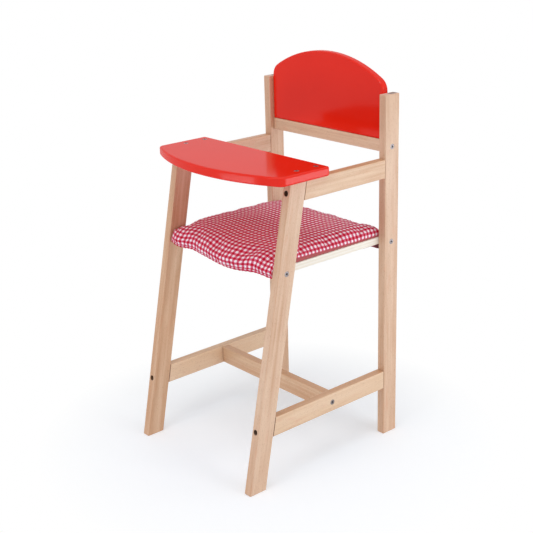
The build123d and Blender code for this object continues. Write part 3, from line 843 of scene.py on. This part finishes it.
def pad_grids(inset, cell, flap):
    """Points of the top and under panels as (row, column, xyz), and the cloth's own lengths."""
    limit = SIDE_LIMIT - SIDE_ROOM - inset
    curl = np.linspace(0, SIDE_CURL, CURL_STEPS)
    over = np.stack([limit - SIDE_RADIUS + SIDE_RADIUS * np.sin(curl), SIDE_RADIUS * np.cos(curl)], axis=1)
    half = np.concatenate([[(0, SIDE_RADIUS)], over])
    below = np.array([(0, 0), (SIDE_LIMIT - inset, 0), (half[-1, 0], UNDER_LIFT)])
    steps, below_steps = lengths_along(half), lengths_along(below)
    columns = int(round(steps[-1] * 2 / cell / 2)) * 2 + 1
    across = np.linspace(-steps[-1], steps[-1], columns)
    side, far = np.sign(across), np.abs(across)
    # Under the cushion one column lies on the corner beside the board, two from the seam
    last = columns // 2
    far_below = np.interp(far / steps[-1], [0, (last - 2) / last, 1], below_steps)
    x_top = side * np.interp(far, steps, half[:, 0])
    x_under = side * np.interp(far_below, below_steps, below[:, 0])
    low_rise = math.cos(SIDE_CURL)
    rise = (np.interp(far, steps, half[:, 1]) / SIDE_RADIUS - low_rise) / (1 - low_rise)
    fall = np.interp(far_below, below_steps, below[:, 1]) / below[-1, 1]
    form = np.array(FRONT_FORM)
    bulges, crowns = smooth(form[:, 0], form[:, 1:], np.clip(x_top / limit, -1, 1)).T
    lines = [long_lines(bulge, max(crown, 0), inset, flap) for bulge, crown in zip(bulges, crowns)]
    longest = max(evened(upper, LINE_STEPS, 3)[1] for upper, _ in lines)
    rows = int(round(longest / cell)) + 1
    top, under = np.empty((rows, columns, 3)), np.empty((rows, columns, 3))
    top[:, :, 0], under[:, :, 0] = x_top, x_under
    for column, (upper, lower) in enumerate(lines):
        upper, lower = (evened(line, LINE_STEPS, rows)[0] for line in (upper, lower))
        ahead = np.clip((REAR_Y - lower[:, 0]) / (REAR_Y - LAP_Y), 0, 1)[:, None]
        seam_share = SEAM_SHARES[0] + (SEAM_SHARES[1] - SEAM_SHARES[0]) * ahead**SEAM_BEND
        top[:, column, 1:] = lower + (upper - lower) * (seam_share + (1 - seam_share) * rise[column])
        under[:, column, 1:] = lower + (upper - lower) * seam_share * fall[column]
    return top, under, across, longest


def write_values(mesh, name, values):
    """Keep a number for each point of a mesh under a name."""
    mesh.attributes.new(name, "FLOAT", "POINT").data.foreach_set("value", values)


def sewn_pad(name, inset, cell, flap=True):
    """One closed mesh of the two panels, joined at their common border, with its cloth map."""
    top, under, across, length = pad_grids(inset, cell, flap)
    rows, columns = top.shape[:2]
    down = np.linspace(0, length, rows)
    index_top = np.arange(rows * columns).reshape(rows, columns)
    index_under = index_top.copy()
    index_under[1:-1, 1:-1] = np.arange((rows - 2) * (columns - 2)).reshape(rows - 2, -1) + rows * columns
    points = np.concatenate([top.reshape(-1, 3), under[1:-1, 1:-1].reshape(-1, 3)])
    faces, cloth = [], []
    for side, index in enumerate((index_top, index_under)):
        quads = np.stack([index[:-1, :-1], index[:-1, 1:], index[1:, 1:], index[1:, :-1]], axis=-1)
        u = np.stack([across[:-1], across[1:], across[1:], across[:-1]], axis=-1)
        v = np.stack([down[:-1], down[:-1], down[1:], down[1:]], axis=-1)[:, None, :]
        flat = np.stack(np.broadcast_arrays(
            u + CHECK_SHIFT + side * UNDER_SHIFT[0], v + side * UNDER_SHIFT[1]), axis=-1)
        if side == 0:
            quads, flat = quads[..., ::-1], flat[..., ::-1, :]
        faces.append(quads.reshape(-1, 4))
        cloth.append(flat.reshape(-1, 2))
    mesh = bpy.data.meshes.new(name)
    mesh.from_pydata(points, [], np.concatenate(faces).tolist())
    mesh.uv_layers.new(name="cloth").uv.foreach_set("vector", np.concatenate(cloth).ravel())
    row, column = np.divmod(np.arange(rows * columns), columns)
    edge = np.minimum(np.minimum(row, rows - 1 - row), np.minimum(column, columns - 1 - column)) * cell
    under_edge = edge.reshape(rows, columns)[1:-1, 1:-1].ravel()
    write_values(mesh, "from_seam", np.concatenate([edge, under_edge]))
    write_values(mesh, "panel", np.concatenate([np.zeros(rows * columns), np.ones(len(under_edge))]))
    return add_object(name, mesh)


cushion = sewn_pad("gingham_cushion", 0.0, CELL)
print("cover laid out:", len(cushion.data.vertices), "points")


# %% Fill the cover with Cloth pressure
SWELL_LIMIT = 3.2 * MM
PRESSURE = 4
FRAMES = 20
SEAM_HOLD = 0.9
SHRINK = -0.035
STIFFNESS = 0.2
QUALITY = 6


def values_of(mesh, name):
    """A float attribute of a mesh's points as an array."""
    values = np.empty(len(mesh.vertices))
    mesh.attributes[name].data.foreach_get("value", values)
    return values


def set_points(mesh, points):
    """Move a mesh's points, but keep them off the board below and the frames beside."""
    points[:, 0] = np.clip(points[:, 0], -SIDE_LIMIT, SIDE_LIMIT)
    over = points[:, 1] > LAP_Y
    points[over, 2] = np.maximum(points[over, 2], FLOOR_Z)
    points[:, 1] = np.minimum(points[:, 1], cover_high.y)
    mesh.vertices.foreach_set("co", points.ravel())
    mesh.update()


def swell(piece):
    """Blow the cover up a little, pinned at its seam and where the board holds it."""
    mesh = piece.data
    rest = points_of(mesh)
    group = piece.vertex_groups.new(name="held")
    group.add(np.flatnonzero(values_of(mesh, "panel") > 0.5).tolist(), 1.0, "REPLACE")
    group.add(np.flatnonzero(values_of(mesh, "from_seam") < CELL / 2).tolist(), SEAM_HOLD, "REPLACE")
    cloth = piece.modifiers.new("cloth", "CLOTH")
    cloth.settings.use_pressure = True
    cloth.settings.uniform_pressure_force = PRESSURE
    cloth.settings.effector_weights.gravity = 0
    cloth.settings.vertex_group_mass = "held"
    cloth.settings.quality = QUALITY
    cloth.settings.shrink_min = SHRINK
    cloth.settings.bending_stiffness = STIFFNESS
    cloth.point_cache.frame_start = 1
    cloth.point_cache.frame_end = FRAMES
    for frame_number in range(1, FRAMES + 1):
        scene.frame_set(frame_number)
    seen = piece.evaluated_get(bpy.context.evaluated_depsgraph_get())
    moved = points_of(seen.data) - rest
    piece.modifiers.clear()
    piece.vertex_groups.clear()
    scene.frame_set(1)
    reach = np.linalg.norm(moved, axis=1)
    share = SWELL_LIMIT * np.tanh(reach / SWELL_LIMIT) / np.maximum(reach, MM / 1000)
    set_points(mesh, rest + moved * share[:, None])
    return reach


reach = swell(cushion)
print("the cloth moved", round(reach.mean() / MM, 2), "mm on average")


# %% Subdivide, then draw in the seam
SEAM_DEPTH = 0.6 * MM
SEAM_WIDTH = 1.3 * MM
PUCKER_DEPTH = 0.35 * MM
PUCKER_PITCH = 8 * MM
PUCKER_REACH = 7 * MM
PUCKER_END = 6
PUCKER_WANDER = 1.3
PUCKER_REPEAT = 3.7


def subdivided(piece):
    """The piece with its mesh subdivided once."""
    divide = piece.modifiers.new("subdivision", "SUBSURF")
    divide.levels = divide.render_levels = 1
    return settle(piece)


def shade_smooth(piece):
    """Shade every face of a piece smooth."""
    piece.data.polygons.foreach_set("use_smooth", np.ones(len(piece.data.polygons), bool))


def draw_seam(piece):
    """Sink the seam line and gather the cloth beside it."""
    mesh = piece.data
    points, away = points_of(mesh), values_of(mesh, "from_seam")
    normals = np.empty(len(points) * 3)
    mesh.vertices.foreach_get("normal", normals)
    along = (points[:, 0] + points[:, 1]) * math.tau / PUCKER_PITCH
    gather = np.sin(along + PUCKER_WANDER * np.sin(along / PUCKER_REPEAT))
    sink = SEAM_DEPTH * np.exp(-(away / SEAM_WIDTH) ** 2)
    pucker = PUCKER_DEPTH * gather * (away / PUCKER_REACH) * np.exp(1 - away / PUCKER_REACH)
    pucker = pucker * (away < PUCKER_END * PUCKER_REACH)
    set_points(mesh, points + normals.reshape(-1, 3) * (pucker - sink)[:, None])


subdivided(cushion)
draw_seam(cushion)
shade_smooth(cushion)
over_board = points_of(cushion.data)[:, 1] > LAP_Y
write_values(cushion.data, "plain", (values_of(cushion.data, "panel") > 0.01) * over_board * 1.0)
print("cushion faces:", len(cushion.data.polygons))

# %% [markdown]
# ## Gingham
#
# Gingham has no print. White and red yarns take turns in bands of the same width, both
# along and across the cloth. The shader does just that: one square wave along each
# direction of the cloth, and the share of red yarn at a point is their mean. The yarns
# themselves are a fine over and under pattern that mixes the half tones and raises the
# weave. The lining under the cushion is plain.

# %% Gingham cotton
CHECK_ACROSS = 7.6 * MM
CHECK_ALONG = 7.0 * MM
RED_SHARE = 0.52
YARN_PITCH = 0.5 * MM
COTTON_RED = "C60828"
COTTON_HALF = "DC6484"
COTTON_WHITE = "FFF6FC"
COTTON_PLAIN = "BA6264"


def gingham():
    """Red and white yarns woven in bands, on the cloth's own map."""
    cloth = Finish("gingham", uv_map="cloth")
    across, along = cloth.part(cloth.where, 0), cloth.part(cloth.where, 1)
    wander = cloth.noise(cloth.where, 60.0, 1.0)

    def bands(place, pitch):
        """1 in red bands and 0 in white ones, with a soft edge of half a yarn."""
        wave = ((place + wander * 0.4 * MM) / (pitch / 2)).to("PINGPONG", 1.0)
        return ((wave - (1 - RED_SHARE)) * 10 + 0.5).clamped()

    def ripple(place):
        return (place * (math.tau / YARN_PITCH)).to("SINE")

    weave = ripple(across) * ripple(along)
    red = (bands(across, CHECK_ACROSS) + bands(along, CHECK_ALONG)) / 2 + weave * 0.04
    colour = cloth.out("ShaderNodeValToRGB", {"Fac": red}, stops=[
        (0.0, linear(COTTON_WHITE)), (0.5, linear(COTTON_HALF)), (1.0, linear(COTTON_RED)),
    ])
    plain = cloth.number("ShaderNodeAttribute", None, 2, attribute_name="plain")
    return cloth.close({
        "Base Color": cloth.mix(plain.ramp(0.05, 20), colour, linear(COTTON_PLAIN)),
        "Roughness": 0.85 + weave * 0.05, "Specular IOR Level": 0.15,
        "Sheen Weight": 0.03, "Sheen Roughness": 0.4,
    }, weave, 0.03 * MM)


dress(cushion, gingham())
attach(cushion, "root")
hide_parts("cushion_cover")
print("gingham repeat:", round(CHECK_ACROSS / MM, 1), "by", round(CHECK_ALONG / MM, 1), "mm")

# %% [markdown]
# ## Wadding
#
# The pad inside is a slab of polyester wadding that stops at the front shoulder. Nobody
# sees it in the finished cushion, but the cover is a thing of its own that can be taken
# off, so the wadding is a piece too: the same layout drawn in, without the front flap.

# %% The wadding slab
WADDING_INSET = 3.4 * MM
WADDING_CELL = 5 * MM


def polyester_wadding():
    """Matted white fibres."""
    fibre = Finish("polyester_wadding")
    mat = fibre.noise(fibre.where, 260.0, 6.0, Distortion=1.5)
    colour = fibre.mix(mat, linear("E2DFD6"), linear("F6F4EE"))
    return fibre.close({"Base Color": colour, "Roughness": 0.95}, mat, 0.6 * MM)


wadding = subdivided(sewn_pad("wadding_slab", WADDING_INSET, WADDING_CELL, flap=False))
shade_smooth(wadding)
dress(wadding, polyester_wadding())
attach(wadding, "root")
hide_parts("cushion_foam")
print("wadding faces:", len(wadding.data.polygons))

# %% [markdown]
# ## Straps and hook tape
#
# Two dark red straps are caught in the rear seam of the cushion. They run over the seat
# board, hang a little slack round its rear edge and close on hook tape under it. Thin
# webbing would be lost in a remesh, so each strap is laid as a ribbon along a smooth
# line. Its section is a flat oval, its weave is a row of fine ribs, and its end is sewn
# down. Stitches repeat along a line, so a second tree makes them: it spaces points
# evenly along a line and sets a small bead of thread on each.

# %% One tree for stitches along lines
LEAN_CHANCE = 0.12


def stitch_tree():
    """Short stitches at an even pitch along the lines of the carrier."""
    tree = Shape("stitches", Float=["Pitch", "Stitch length", "Thread radius", "Slant"],
                 Int=["Seed"], Material=["Material"])
    line = tree.out("GeometryNodeMeshToCurve", {0: tree.inputs["Geometry"]})
    even = {"Curve": line, "Length": tree.inputs["Pitch"]}
    even = tree.out("GeometryNodeResampleCurve", even, mode="LENGTH")
    points = tree.node("GeometryNodeCurveToPoints", {"Curve": even}, mode="EVALUATED").outputs
    bead = tree.out("GeometryNodeMeshIcoSphere", {"Radius": 1.0, "Subdivisions": 2})
    radius = tree.size("Thread radius")
    form = tree.vector(X=radius, Y=radius, Z=tree.size("Stitch length") / 2)
    bead = tree.out("GeometryNodeTransform", {"Geometry": bead, "Scale": form})
    slant = tree.size("Slant") + tree.chance(-LEAN_CHANCE, LEAN_CHANCE)
    return tree.scatter(points["Points"], bead, tree.spun(points["Rotation"], tree.vector(Y=slant)))


def thread(name, code):
    """Twisted sewing thread."""
    twist = Finish(name)
    ply = {"Vector": twist.where, "Scale": 900.0}
    ply = twist.number("ShaderNodeTexWave", ply, bands_direction="DIAGONAL")
    colour = twist.mix(ply * 0.4, linear(code), linear("2A0508"))
    return twist.close({"Base Color": colour, "Roughness": 0.7}, ply, 0.05 * MM)


def sew(name, lines, material, pitch, length, radius, slant=0.0, seed=0):
    """Stitch along lines, given as lists of points, and keep the result as one mesh."""
    carrier = bpy.data.meshes.new(name)
    points, edges = [], []
    for line in lines:
        edges += [(len(points) + step, len(points) + step + 1) for step in range(len(line) - 1)]
        points += [tuple(point) for point in line]
    carrier.from_pydata(points, edges, [])
    made = stitches.grow(name, carrier, {
        "Pitch": pitch, "Stitch length": length, "Thread radius": radius, "Slant": slant,
        "Seed": seed, "Material": material,
    })
    shade_smooth(made)
    return made


stitches = stitch_tree()
red_thread = thread("red_thread", "7A1020")
print("stitch tree has", len(stitches.tree.nodes), "nodes")


# %% Strap webbing
RIB_PITCH = 0.9 * MM
YARN_SHARE = 0.7
WEBBING_RED = "A02038"
# The darker red of the grooves between ribs: painted shade
WEBBING_GROOVE_SHADE = "6C1226"


def strap_webbing():
    """Close ribs across the strap, on its own map."""
    web = Finish("strap_webbing", uv_map="cloth")
    rib = (web.part(web.where, 1) * (math.tau / RIB_PITCH)).to("SINE")
    yarn = (web.part(web.where, 0) * (math.tau / (RIB_PITCH * YARN_SHARE))).to("SINE")
    height = rib * 0.6 + rib * yarn * 0.4
    # The grooves between ribs take the darker red: painted shade, by rib height
    colour = web.mix((height * 0.5 + 0.5).clamped(), linear(WEBBING_GROOVE_SHADE), linear(WEBBING_RED))
    return web.close({"Base Color": colour, "Roughness": 0.75 + height * 0.08}, height, 0.12 * MM)


webbing = strap_webbing()

# %% Lay the straps
STRAP_WIDTH = 15 * MM
STRAP_THICKNESS = 1.1 * MM
STRAP_STEPS = 90
STRAP_COLUMNS = 10
STRAP_FINE = 900
STRAP_CREASE = math.radians(50)
EDGE_THINNING = 0.55
EDGE_POWER = 8
patch_low, patch_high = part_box("strap_patches")
strap_low, strap_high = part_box("cushion_strap_left")
over_z = FLOOR_Z + STRAP_THICKNESS / 2
back_y = board_high.y + 0.3 * MM + STRAP_THICKNESS / 2
under_z = patch_low.z - STRAP_THICKNESS / 2 - 0.1 * MM
# From the rear seam over the board, round its edge, slack below it and on to the patch
STRAP_LINE = np.array([
    (REAR_Y - 2.5 * MM, over_z + 1.2 * MM),
    (REAR_Y + 2 * MM, over_z + 0.6 * MM),
    (board_high.y - 4 * MM, over_z),
    (board_high.y - 0.8 * MM, over_z - 0.05 * MM),
    (back_y, FLOOR_Z - 1.6 * MM),
    (back_y + 0.2 * MM, board_low.z + 3 * MM),
    (back_y - 1.4 * MM, board_low.z - 4.8 * MM),
    (back_y - 7 * MM, board_low.z - 8.8 * MM),
    (patch_high.y + 11 * MM, board_low.z - 8.6 * MM),
    (patch_high.y + 4.5 * MM, board_low.z - 5.6 * MM),
    (patch_high.y, under_z - 0.3 * MM),
    ((patch_low.y + patch_high.y) / 2, under_z),
    (patch_low.y, under_z),
])


def ribbon(name, line, middle_x, width, thickness):
    """A flat oval band along a line in the plane x = middle_x, closed at both ends."""
    path, length = evened(line, STRAP_FINE, STRAP_STEPS)
    ahead = np.gradient(path, axis=0)
    ahead /= np.linalg.norm(ahead, axis=1)[:, None]
    side = np.stack([-ahead[:, 1], ahead[:, 0]], axis=1)
    shape = np.linspace(-1, 1, STRAP_COLUMNS + 1)
    half = thickness / 2 * (1 - EDGE_THINNING * np.abs(shape) ** EDGE_POWER)
    ring = np.array([*zip(shape, half), *zip(shape[::-1], -half[::-1])])
    points = np.empty((STRAP_STEPS, len(ring), 3))
    points[..., 0] = middle_x + ring[None, :, 0] * width / 2
    points[..., 1:] = path[:, None, :] + side[:, None, :] * ring[None, :, 1, None]
    index = np.arange(STRAP_STEPS * len(ring)).reshape(STRAP_STEPS, -1)
    after = np.roll(index, -1, axis=1)
    quads = np.stack([index[:-1], after[:-1], after[1:], index[1:]], axis=-1).reshape(-1, 4).tolist()
    mesh = bpy.data.meshes.new(name)
    mesh.from_pydata(points.reshape(-1, 3), [], quads + [index[0, ::-1].tolist(), index[-1].tolist()])
    down = np.linspace(0, length, STRAP_STEPS)
    flat = np.stack(np.broadcast_arrays(ring[None, :, 0] * width / 2, down[:, None]), axis=-1).reshape(-1, 2)
    corners = np.array([loop.vertex_index for loop in mesh.loops])
    mesh.uv_layers.new(name="cloth").uv.foreach_set("vector", flat[corners].ravel())
    shell = bmesh.new()
    shell.from_mesh(mesh)
    bmesh.ops.recalc_face_normals(shell, faces=shell.faces)
    shell.to_mesh(mesh)
    shell.free()
    mesh.set_sharp_from_angle(angle=STRAP_CREASE)
    return add_object(name, mesh)


strap_middle_x = (strap_low.x + strap_high.x) / 2
for side_name, side in (("left", 1), ("right", -1)):
    strap = ribbon(f"strap_{side_name}", STRAP_LINE, side * strap_middle_x, STRAP_WIDTH, STRAP_THICKNESS)
    dress(strap, webbing)
    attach(strap, "root")
    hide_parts(f"cushion_strap_{side_name}")
print("straps laid at x =", round(strap_middle_x, 4))

# %% Sew the strap ends and close the cushion
SEWN_INSET = 2 * MM
SEWN_ENDS = (2.5 * MM, 9 * MM)
SEWN_SIDES = ((0, 1), (1, 2), (2, 3), (3, 0), (0, 2), (1, 3))
CLOSING_HALF = 55 * MM

seam_z = under_z - STRAP_THICKNESS / 2
near, far = (patch_low.y + end for end in SEWN_ENDS)
sewn = []
for side in (1, -1):
    left, right = (side * strap_middle_x + edge * (STRAP_WIDTH / 2 - SEWN_INSET) for edge in (-1, 1))
    box = [Vector((x, y, seam_z)) for x, y in ((left, near), (right, near), (right, far), (left, far))]
    sewn += [[box[a].lerp(box[b], share) for share in np.linspace(0, 1, 9)] for a, b in SEWN_SIDES]
strap_stitches = sew(
    "strap_stitches", sewn, red_thread, pitch=1.8 * MM, length=1.5 * MM, radius=0.16 * MM, seed=3
)

cushion_points, seam_away = points_of(cushion.data), values_of(cushion.data, "from_seam")
rear_seam = cushion_points[(seam_away < MM / 100) & (cushion_points[:, 1] > REAR_Y - 2 * MM)]
rear_seam = rear_seam[np.abs(rear_seam[:, 0]) < CLOSING_HALF]
rear_seam = rear_seam[np.argsort(rear_seam[:, 0])]
closing_line = [Vector(point) + Vector((0, 0.1 * MM, 0)) for point in rear_seam]
closing_stitches = sew(
    "closing_stitches", [closing_line], red_thread,
    pitch=3.2 * MM, length=2.6 * MM, radius=0.17 * MM, slant=0.9, seed=4,
)
for made in (strap_stitches, closing_stitches):
    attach(made, "root")
print("closing seam:", len(rear_seam), "points;", len(closing_stitches.data.polygons), "faces of thread")


# %% Hook tape under the board
HOOK_PITCH = 1.5 * MM
HOOK_EDGE = 1.2 * MM
HOOK_SINK = 0.3 * MM
HOOK_ARC = {"Resolution": 6, "Start Angle": -0.5, "Sweep Angle": 4.0}
HOOK_WIRE = 0.09 * MM
HOOK_HEIGHT = 0.5 * MM
HOOK_SIDES = 4
HOOK_TWIST = 0.5
TAPE_BASE = 0.55 * MM
TAPE_GAP = 0.02 * MM
TAPE_CORNER = 2 * MM


def black_tape():
    """Matt black nylon."""
    tape = Finish("hook_tape")
    knit = tape.noise(tape.where, 1500.0, 2.0)
    colour = tape.mix(knit, linear("17171A"), linear("2A2A2F"))
    return tape.close({"Base Color": colour, "Roughness": 0.5 + knit * 0.2}, knit, 0.05 * MM)


def hook_tree():
    """Small bent hooks in rows on the lower side of the carrier."""
    tree = Shape("hooks", Float=["Wire", "Height"], Int=["Seed"], Material=["Material"])
    bend = tree.out("GeometryNodeCurveArc", {"Radius": tree.size("Height") / 2, **HOOK_ARC})
    hook = tree.swept(bend, HOOK_SIDES, tree.inputs["Wire"])
    low, high = (math.pi / 2, 0, -HOOK_TWIST), (math.pi / 2, 0, HOOK_TWIST)
    spin = {0: low, 1: high, "Seed": tree.inputs["Seed"]}
    spin = tree.out("FunctionNodeRandomValue", spin, data_type="FLOAT_VECTOR")
    return tree.scatter(tree.inputs["Geometry"], hook, spin)


tape = black_tape()
base_z = patch_low.z + TAPE_BASE
hook_places = [
    (side * strap_middle_x + x, y, base_z - HOOK_SINK)
    for side in (1, -1)
    for x in np.arange(-STRAP_WIDTH / 2 + HOOK_EDGE, STRAP_WIDTH / 2 - MM, HOOK_PITCH)
    for y in np.arange(patch_low.y + HOOK_EDGE, patch_high.y - MM, HOOK_PITCH)
]
carrier = bpy.data.meshes.new("hook_places")
carrier.from_pydata(hook_places, [], [])
patches = hook_tree().grow("hook_patches", carrier, {
    "Wire": HOOK_WIRE, "Height": HOOK_HEIGHT, "Seed": 5, "Material": tape,
})
backing = bmesh.new()
backing.from_mesh(patches.data)
size = Matrix.Diagonal((STRAP_WIDTH, patch_high.y - patch_low.y, board_low.z - base_z - TAPE_GAP, 1))
for side in (1, -1):
    middle = Vector((side * strap_middle_x, (patch_low.y + patch_high.y) / 2, (board_low.z + base_z) / 2))
    block = bmesh.ops.create_cube(backing, size=1, matrix=Matrix.Translation(middle) @ size)
    upright = [edge for vert in block["verts"] for edge in vert.link_edges
               if vert == edge.verts[0] and abs(edge.verts[1].co.z - vert.co.z) > MM / 10]
    bmesh.ops.bevel(backing, geom=upright, offset=TAPE_CORNER, segments=4, affect="EDGES", profile=0.5)
backing.to_mesh(patches.data)
backing.free()
dress(patches, tape)
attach(patches, "root")
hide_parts("strap_patches")
print("hooks:", len(hook_places), "in", len(patches.data.polygons), "faces")

# %% [markdown]
# ## Light, floor and background
#
# The studio is white all round. A lamp to the right of the camera gives the outer faces
# their brightness, one in front of the chair fills its front faces, and one overhead
# puts a faint shadow under it. Two small cool lamps near the floor light the lower ends
# of the legs, as a shiny floor would. The floor has two jobs: it throws light back up
# at the wood, and it shows almost white with only a breath of shadow. So it has a plain
# pale colour for every ray but the camera's, and for those it glows a little.

# %% The studio
WORLD_STRENGTH = 0.52
FLOOR_WIDTH = 8
FLOOR_COLOUR = "F4F5F7"
FLOOR_GLOW = 0.185
FLOOR_PALE = (0.855, 0.9, 0.965, 1)
SHADOW_REACH = (0.13, 0.34)
WHITE = (1, 1, 1)
COOL = (0.88, 0.94, 1.0)
# Each lamp's azimuth, elevation, distance, width and height, watts and tint
LAMPS = {
    "key": (104, 22, 2.2, (0.9, 0.9), 8.0, WHITE),
    "fill": (5, 42, 2.4, (0.9, 0.9), 7.5, WHITE),
    "overhead": (40, 70, 2.0, (1.2, 1.2), 8.5, WHITE),
    "low_front": (-20, -10.5, 1.0, (0.42, 0.14), 1.2, COOL),
    "low_side": (130, -7, 1.0, (0.5, 0.26), 1.75, COOL),
}


def any_ray(tree, *kinds):
    """1 for the rays of any of these kinds, and 0 for the others."""
    paths = tree.node("ShaderNodeLightPath").outputs
    seen = Signal(tree.tree, paths[kinds[0]])
    for kind in kinds[1:]:
        seen = seen.to("MAXIMUM", Signal(tree.tree, paths[kind]))
    return seen


def white_world():
    """Even white light, and pure white wherever the camera or a reflection sees it."""
    scene.world = bpy.data.worlds.new("studio")
    scene.world.use_nodes = True
    sky = NodeTree(scene.world.node_tree)
    seen = any_ray(sky, "Is Camera Ray", "Is Glossy Ray", "Is Transmission Ray")
    strength = seen * (1 - WORLD_STRENGTH) + WORLD_STRENGTH
    light = sky.out("ShaderNodeBackground", {"Color": (*WHITE, 1), "Strength": strength})
    sky.node("ShaderNodeOutputWorld", {"Surface": light})


def studio_floor():
    """A wide floor that shows white but for the soft shadow round the chair."""
    finish = Finish("studio_floor")

    def glow(strength):
        return finish.out("ShaderNodeEmission", {"Color": (*WHITE, 1), "Strength": strength})

    def blend(share, first, second):
        return finish.out("ShaderNodeMixShader", {0: share, 1: first, 2: second})

    far = finish.number("ShaderNodeVectorMath", {0: finish.where}, 1, operation="LENGTH")
    faded = ((far - SHADOW_REACH[0]) / (SHADOW_REACH[1] - SHADOW_REACH[0])).clamped()
    plain = finish.out("ShaderNodeBsdfDiffuse", {"Color": linear(FLOOR_COLOUR)})
    pale = finish.out("ShaderNodeBsdfDiffuse", {"Color": FLOOR_PALE})
    shaded = finish.out("ShaderNodeAddShader", {0: pale, 1: glow(FLOOR_GLOW)})
    white = glow(1.0)
    by_ray = blend(any_ray(finish, "Is Camera Ray"), plain, blend(faded, shaded, white))
    finish.show(blend(any_ray(finish, "Is Glossy Ray", "Is Transmission Ray"), by_ray, white))
    bpy.ops.mesh.primitive_plane_add(size=FLOOR_WIDTH)
    floor = bpy.context.object
    floor.name = "floor"
    dress(floor, finish.material)


def area_lamp(name, azimuth, elevation, distance, size, watts, tint):
    """A soft lamp that looks at the middle of the chair."""
    lamp = add_object(name, bpy.data.lights.new(name, "AREA"))
    lamp.data.shape = "RECTANGLE"
    lamp.data.size, lamp.data.size_y = size
    lamp.data.energy = watts
    lamp.data.color = tint
    back = direction(azimuth, elevation)
    lamp.location = CAMERA_TARGET + back * distance
    lamp.rotation_euler = back.to_track_quat("Z", "Y").to_euler()


white_world()
studio_floor()
for name, lamp in LAMPS.items():
    area_lamp(name, *lamp)
scene.view_settings.view_transform = "Standard"
print("studio lit by", len(LAMPS), "lamps")
